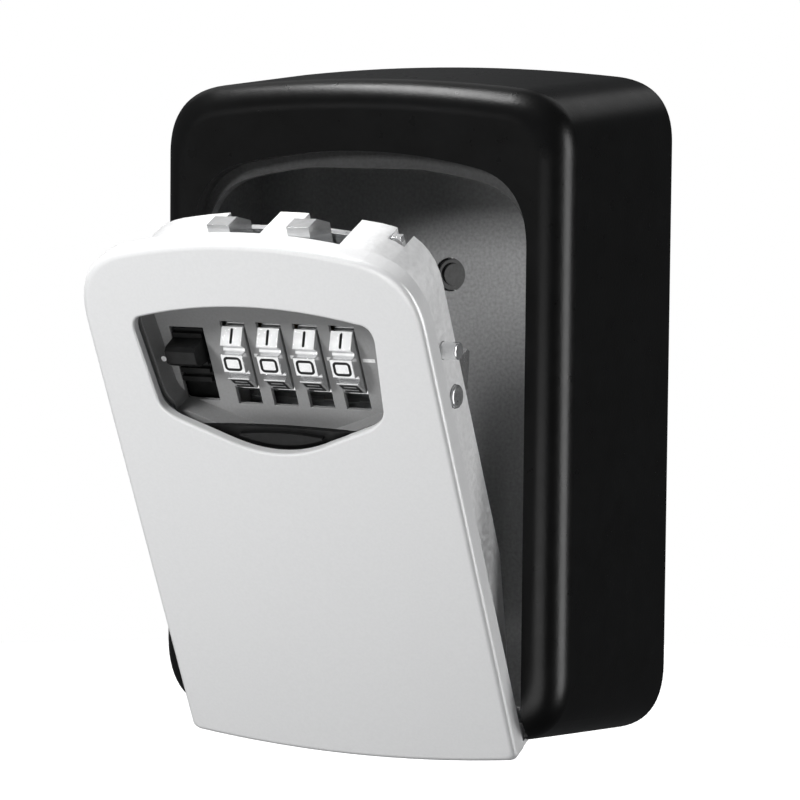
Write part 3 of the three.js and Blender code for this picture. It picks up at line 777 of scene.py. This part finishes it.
def stroke(start, end):
    """One printed line with round ends, flat in X and Z, from depth 0 towards the viewer."""
    begin, finish = (Vector((DIGIT_HALF_WIDTH * u, DIGIT_HALF_HEIGHT * v)) for u, v in (start, end))
    heading = math.atan2(finish.y - begin.y, finish.x - begin.x)
    points = []
    for centre, first in ((finish, -90), (begin, 90)):
        for i in range(END_STEPS + 1):
            turn = heading + math.radians(first + 180 * i / END_STEPS)
            points.append((centre.x + STROKE * math.cos(turn), centre.y + STROKE * math.sin(turn)))
    return slab(points, -INK_HEIGHT, INK_HEIGHT)


def zero():
    """The nought: a ring with rounded corners."""
    loops = []
    for grow in (STROKE, -STROKE):
        half, tall, corner = (size + grow for size in (DIGIT_HALF_WIDTH, DIGIT_HALF_HEIGHT, ZERO_CORNER))
        points = []
        for u, v, first in ((1, 1, 0), (-1, 1, 90), (-1, -1, 180), (1, -1, 270)):
            centre = (u * (half - corner), v * (tall - corner))
            for i in range(CORNER_STEPS + 1):
                turn = math.radians(first + 90 * i / CORNER_STEPS)
                points.append((centre[0] + corner * math.cos(turn), centre[1] + corner * math.sin(turn)))
        loops.append(points)
    ring = new_object("zero", slab(loops[0], -INK_HEIGHT, INK_HEIGHT))
    return cut(ring, slab(loops[1], -1, 1))


def digit_shape(strokes):
    if not strokes:
        return zero()
    first, *others = [stroke(*STROKES[letter]) for letter in strokes]
    digit = new_object("digit", first)
    return fuse(digit, *others) if others else digit


def digit_ring():
    """All ten digits, each on its facet, round an axis through the origin."""
    facet = DIAL_RADIUS * math.cos(FACET_HALF) * MM
    digits = [digit_shape(strokes) for strokes in DIGITS]
    for number, digit in enumerate(digits):
        turned = Matrix.Rotation(-number * STEP, 4, "X") @ Matrix.Translation((0, -facet, 0))
        digit.data.transform(turned)
    return taken_mesh(*digits)


def make_dials():
    ring = new_object("digits", digit_ring(), MATERIALS["black_plastic"])
    for number in range(1, 5):
        node = f"dial_{number}"
        low, high = shut_box(node)
        middle = (low + high) / 2
        half = (high.x - low.x) / 2
        wheel = new_object(f"{node}_wheel", across(wheel_profile(), -half, half), MATERIALS["chrome_plate"])
        bore = disc_points(0, 0, DIAL_BORE, 40)
        cut(wheel, across(bore, -half - OVERSHOOT, half + OVERSHOOT))
        round_edges(wheel, DIAL_EDGE)
        placed = OPENED @ Matrix.Translation(middle * MM)
        stand_for(wheel, node, node, placed)
        digits = bpy.data.objects.new(f"{node}_digits", ring.data)
        bpy.context.scene.collection.objects.link(digits)
        digits.matrix_world = placed
        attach(digits, node)
    bpy.data.objects.remove(ring)


# ---- latch springs --------------------------------------------------------------------------------
LATCH_SPRINGS = {
    "latch_spring_left": {"radius": 1.5, "turns": 6},
    "latch_spring_right": {"radius": 1.4, "turns": 4},
}
WIRE_RADIUS, WIRE_SIDES = 0.3, 12
STEPS_PER_TURN = 24


def coil(radius, length, turns):
    """A round-wire coil that stands on the origin and winds up along Z."""
    rows = []
    rise = length - 2 * WIRE_RADIUS
    count = turns * STEPS_PER_TURN
    up = Vector((0, 0, 1))
    section = [2 * math.pi * k / WIRE_SIDES for k in range(WIRE_SIDES)]
    for i in range(count + 1):
        turn = 2 * math.pi * i / STEPS_PER_TURN
        out = Vector((math.cos(turn), math.sin(turn), 0))
        centre = out * radius + up * (WIRE_RADIUS + rise * i / count)
        rows.append([centre + WIRE_RADIUS * (out * math.cos(a) + up * math.sin(a)) for a in section])
    return skin(rows)


def make_latch_springs():
    """Round-wire coil springs, each standing in its latch spring's place on the door."""
    for node, size in LATCH_SPRINGS.items():
        low, high = shut_box(node)
        foot = Vector(((low.x + high.x) / 2, (low.y + high.y) / 2, low.z))
        length = high.z - low.z
        spring = new_object(f"{node}_coil", coil(length=length, **size), MATERIALS["bright_steel"])
        spring.data.shade_smooth()
        stand_for(spring, node, "door", OPENED @ Matrix.Translation(foot * MM))
        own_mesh(spring)


# ---- index marks ----------------------------------------------------------------------------------
MARK_DEPTH = 7.05  # the bezel's front
MARK_HEIGHT = 0.04
MARK_HALF = 0.32
MARK_LENGTH, LONG_MARK = 1.1, 2.3
MARK_RISE, MARK_GAP = 0.4, 0.6
DOT_RADIUS, DOT_INSET = 0.5, 0.75
LEDGE_MIDDLE = 19.5


def make_index_marks():
    """Small painted lines between the dials, level with their axis, and a longer one at the end."""
    boxes = [shut_box(f"dial_{number}") for number in range(1, 5)]
    level = (boxes[0][0].z + boxes[0][1].z) / 2 + MARK_RISE
    rows = []
    for (_, left), (right, _) in zip(boxes, boxes[1:]):
        middle = (left.x + right.x) / 2
        rows.append((middle - MARK_LENGTH / 2, middle + MARK_LENGTH / 2))
    end = boxes[-1][1].x + MARK_GAP
    rows.append((end, end + LONG_MARK))
    deep = (at(MARK_DEPTH - MARK_HEIGHT), at(MARK_DEPTH + MARK_HEIGHT))
    tall = (level - MARK_HALF, level + MARK_HALF)
    marks = [new_object("mark", block(x0, x1, *deep, *tall)) for x0, x1 in rows]
    piece = new_object("index_marks", taken_mesh(*marks), INDEX_PAINT)
    piece.matrix_world = OPENED
    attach(piece, "door")


def make_lever_dot():
    """A painted dot at the tip of the opening lever's ledge."""
    low, _ = shut_box("open_lever")
    front = low.y
    dot = peg(low.x + DOT_INSET, LEDGE_MIDDLE, DOT_RADIUS, front - MARK_HEIGHT, front + MARK_HEIGHT)
    piece = new_object("lever_dot", dot, INDEX_PAINT)
    piece.matrix_world = OPENED
    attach(piece, "open_lever")


dress_cad_nodes()
make_housing()
make_cover()
make_dials()
make_latch_springs()
make_index_marks()
make_lever_dot()


# ---- stage, lights and camera ---------------------------------------------------------------------
def aim(thing, place, target):
    """Puts a light or camera at a place, in metres, and turns it to face the target."""
    thing.location = place
    thing.rotation_euler = (target - place).to_track_quat("-Z", "Y").to_euler()


def softbox(name, direction, distance, width, height, watts, diffuse=True, glossy=True):
    """A lamp that faces the object; it can be left out of the plain shading or of the reflections."""
    data = bpy.data.lights.new(name, "AREA")
    data.shape = "RECTANGLE"
    data.size = width
    data.size_y = height
    data.energy = watts
    lamp = bpy.data.objects.new(name, data)
    lamp.visible_camera = False
    lamp.visible_diffuse = diffuse
    lamp.visible_glossy = glossy
    bpy.context.scene.collection.objects.link(lamp)
    centre = (cad_box[0] + cad_box[1]) / 2
    aim(lamp, centre + Vector(direction).normalized() * distance, centre)


def studio_lights():
    softbox("key_upper_left", (-0.46, -0.82, 0.36), 0.55, 0.12, 0.12, 2.2, glossy=False)
    softbox("low_front", (0.2, -0.95, -0.35), 1.0, 0.6, 0.6, 3.5)
    softbox("right_side", (0.78, 0.62, 0.08), 0.8, 0.2, 0.2, 3.6, glossy=False)
    softbox("top", (-0.35, -0.10, 0.90), 0.8, 0.5, 0.12, 6.0)
    softbox("back_rim", (0.30, 0.9, 0.9), 1.0, 0.6, 0.6, 0.8)
    softbox("strip_right", (1.0, 0.04, -0.03), 0.8, 0.35, 0.8, 9.5, diffuse=False)
    softbox("under_front", (-0.3, -0.75, -0.45), 0.25, 0.5, 0.3, 0.5, diffuse=False)
    softbox("dial_card", (-0.49, -0.84, 0.30), 0.8, 0.25, 0.2, 0.2, diffuse=False)
    softbox("hook_card", (-0.5, 0.55, 0.68), 0.8, 0.5, 0.5, 0.25, diffuse=False)


def studio_world():
    """White behind the object, and a dim grey room for everything that reflects."""
    world = bpy.data.worlds.new("studio")
    bpy.context.scene.world = world
    world.use_nodes = True
    tree = world.node_tree
    room = tree.nodes["Background"]
    room.inputs["Color"].default_value = (0.9, 0.92, 0.95, 1.0)
    room.inputs["Strength"].default_value = 0.07
    backdrop = tree.nodes.new("ShaderNodeBackground")
    backdrop.inputs["Color"].default_value = (1.0, 1.0, 1.0, 1.0)
    backdrop.inputs["Strength"].default_value = 1.0
    seen = tree.nodes.new("ShaderNodeLightPath")
    either = tree.nodes.new("ShaderNodeMixShader")
    tree.links.new(seen.outputs["Is Camera Ray"], either.inputs["Fac"])
    tree.links.new(room.outputs["Background"], either.inputs[1])
    tree.links.new(backdrop.outputs["Background"], either.inputs[2])
    tree.links.new(either.outputs["Shader"], tree.nodes["World Output"].inputs["Surface"])


FLOOR_DROP = 130  # how far the floor lies below the object's centre
FLOOR_RADIUS = 550


def studio_floor():
    """A pale light table under the object."""
    floor_paint = Surface("floor_paint", specular=0.2)
    floor_paint.colour(floor_paint.noise(60.0), grey(0.7), grey(0.74))
    floor_paint.rough(floor_paint.noise(20.0), 0.7, 0.85)
    floor_paint.shader.inputs["Emission Color"].default_value = (1.0, 1.0, 1.0, 1.0)
    floor_paint.shader.inputs["Emission Strength"].default_value = 0.8
    mesh = bpy.data.meshes.new("floor")
    disc = bmesh.new()
    bmesh.ops.create_circle(disc, cap_ends=True, radius=FLOOR_RADIUS * MM, segments=96)
    disc.to_mesh(mesh)
    disc.free()
    mesh.materials.append(floor_paint.material)
    floor = bpy.data.objects.new("floor", mesh)
    floor.location.z = -FLOOR_DROP * MM
    floor.visible_diffuse = False
    floor.visible_glossy = False
    floor.visible_shadow = False
    bpy.context.scene.collection.objects.link(floor)


# The camera looks at the middle of the housing's depth from the right and a little above.
CAMERA_AZIMUTH = math.radians(27.309)
CAMERA_ELEVATION = math.radians(4.855)
CAMERA_ROLL = math.radians(0.546)
CAMERA_DISTANCE = 646.9
CAMERA_LENS, SENSOR_WIDTH = 161.6, 36.0
LOOK_AT = Vector((-1.32, -20.0, 0.0))


def studio_camera():
    sin_az, cos_az = math.sin(CAMERA_AZIMUTH), math.cos(CAMERA_AZIMUTH)
    sin_el, cos_el = math.sin(CAMERA_ELEVATION), math.cos(CAMERA_ELEVATION)
    back = Vector((sin_az * cos_el, -cos_az * cos_el, sin_el))
    level = Vector((cos_az, sin_az, 0.0))
    above = back.cross(level)
    right = math.cos(CAMERA_ROLL) * level + math.sin(CAMERA_ROLL) * above
    up = math.cos(CAMERA_ROLL) * above - math.sin(CAMERA_ROLL) * level
    data = bpy.data.cameras.new("camera")
    data.lens = CAMERA_LENS
    data.sensor_width = SENSOR_WIDTH
    data.clip_start = 0.01
    camera = bpy.data.objects.new("camera", data)
    axes = Matrix((right, up, back)).transposed().to_4x4()
    camera.matrix_world = Matrix.Translation((LOOK_AT + back * CAMERA_DISTANCE) * MM) @ axes
    bpy.context.scene.collection.objects.link(camera)
    bpy.context.scene.camera = camera


studio_lights()
studio_world()
studio_floor()
studio_camera()
bpy.context.scene.view_settings.view_transform = "Standard"
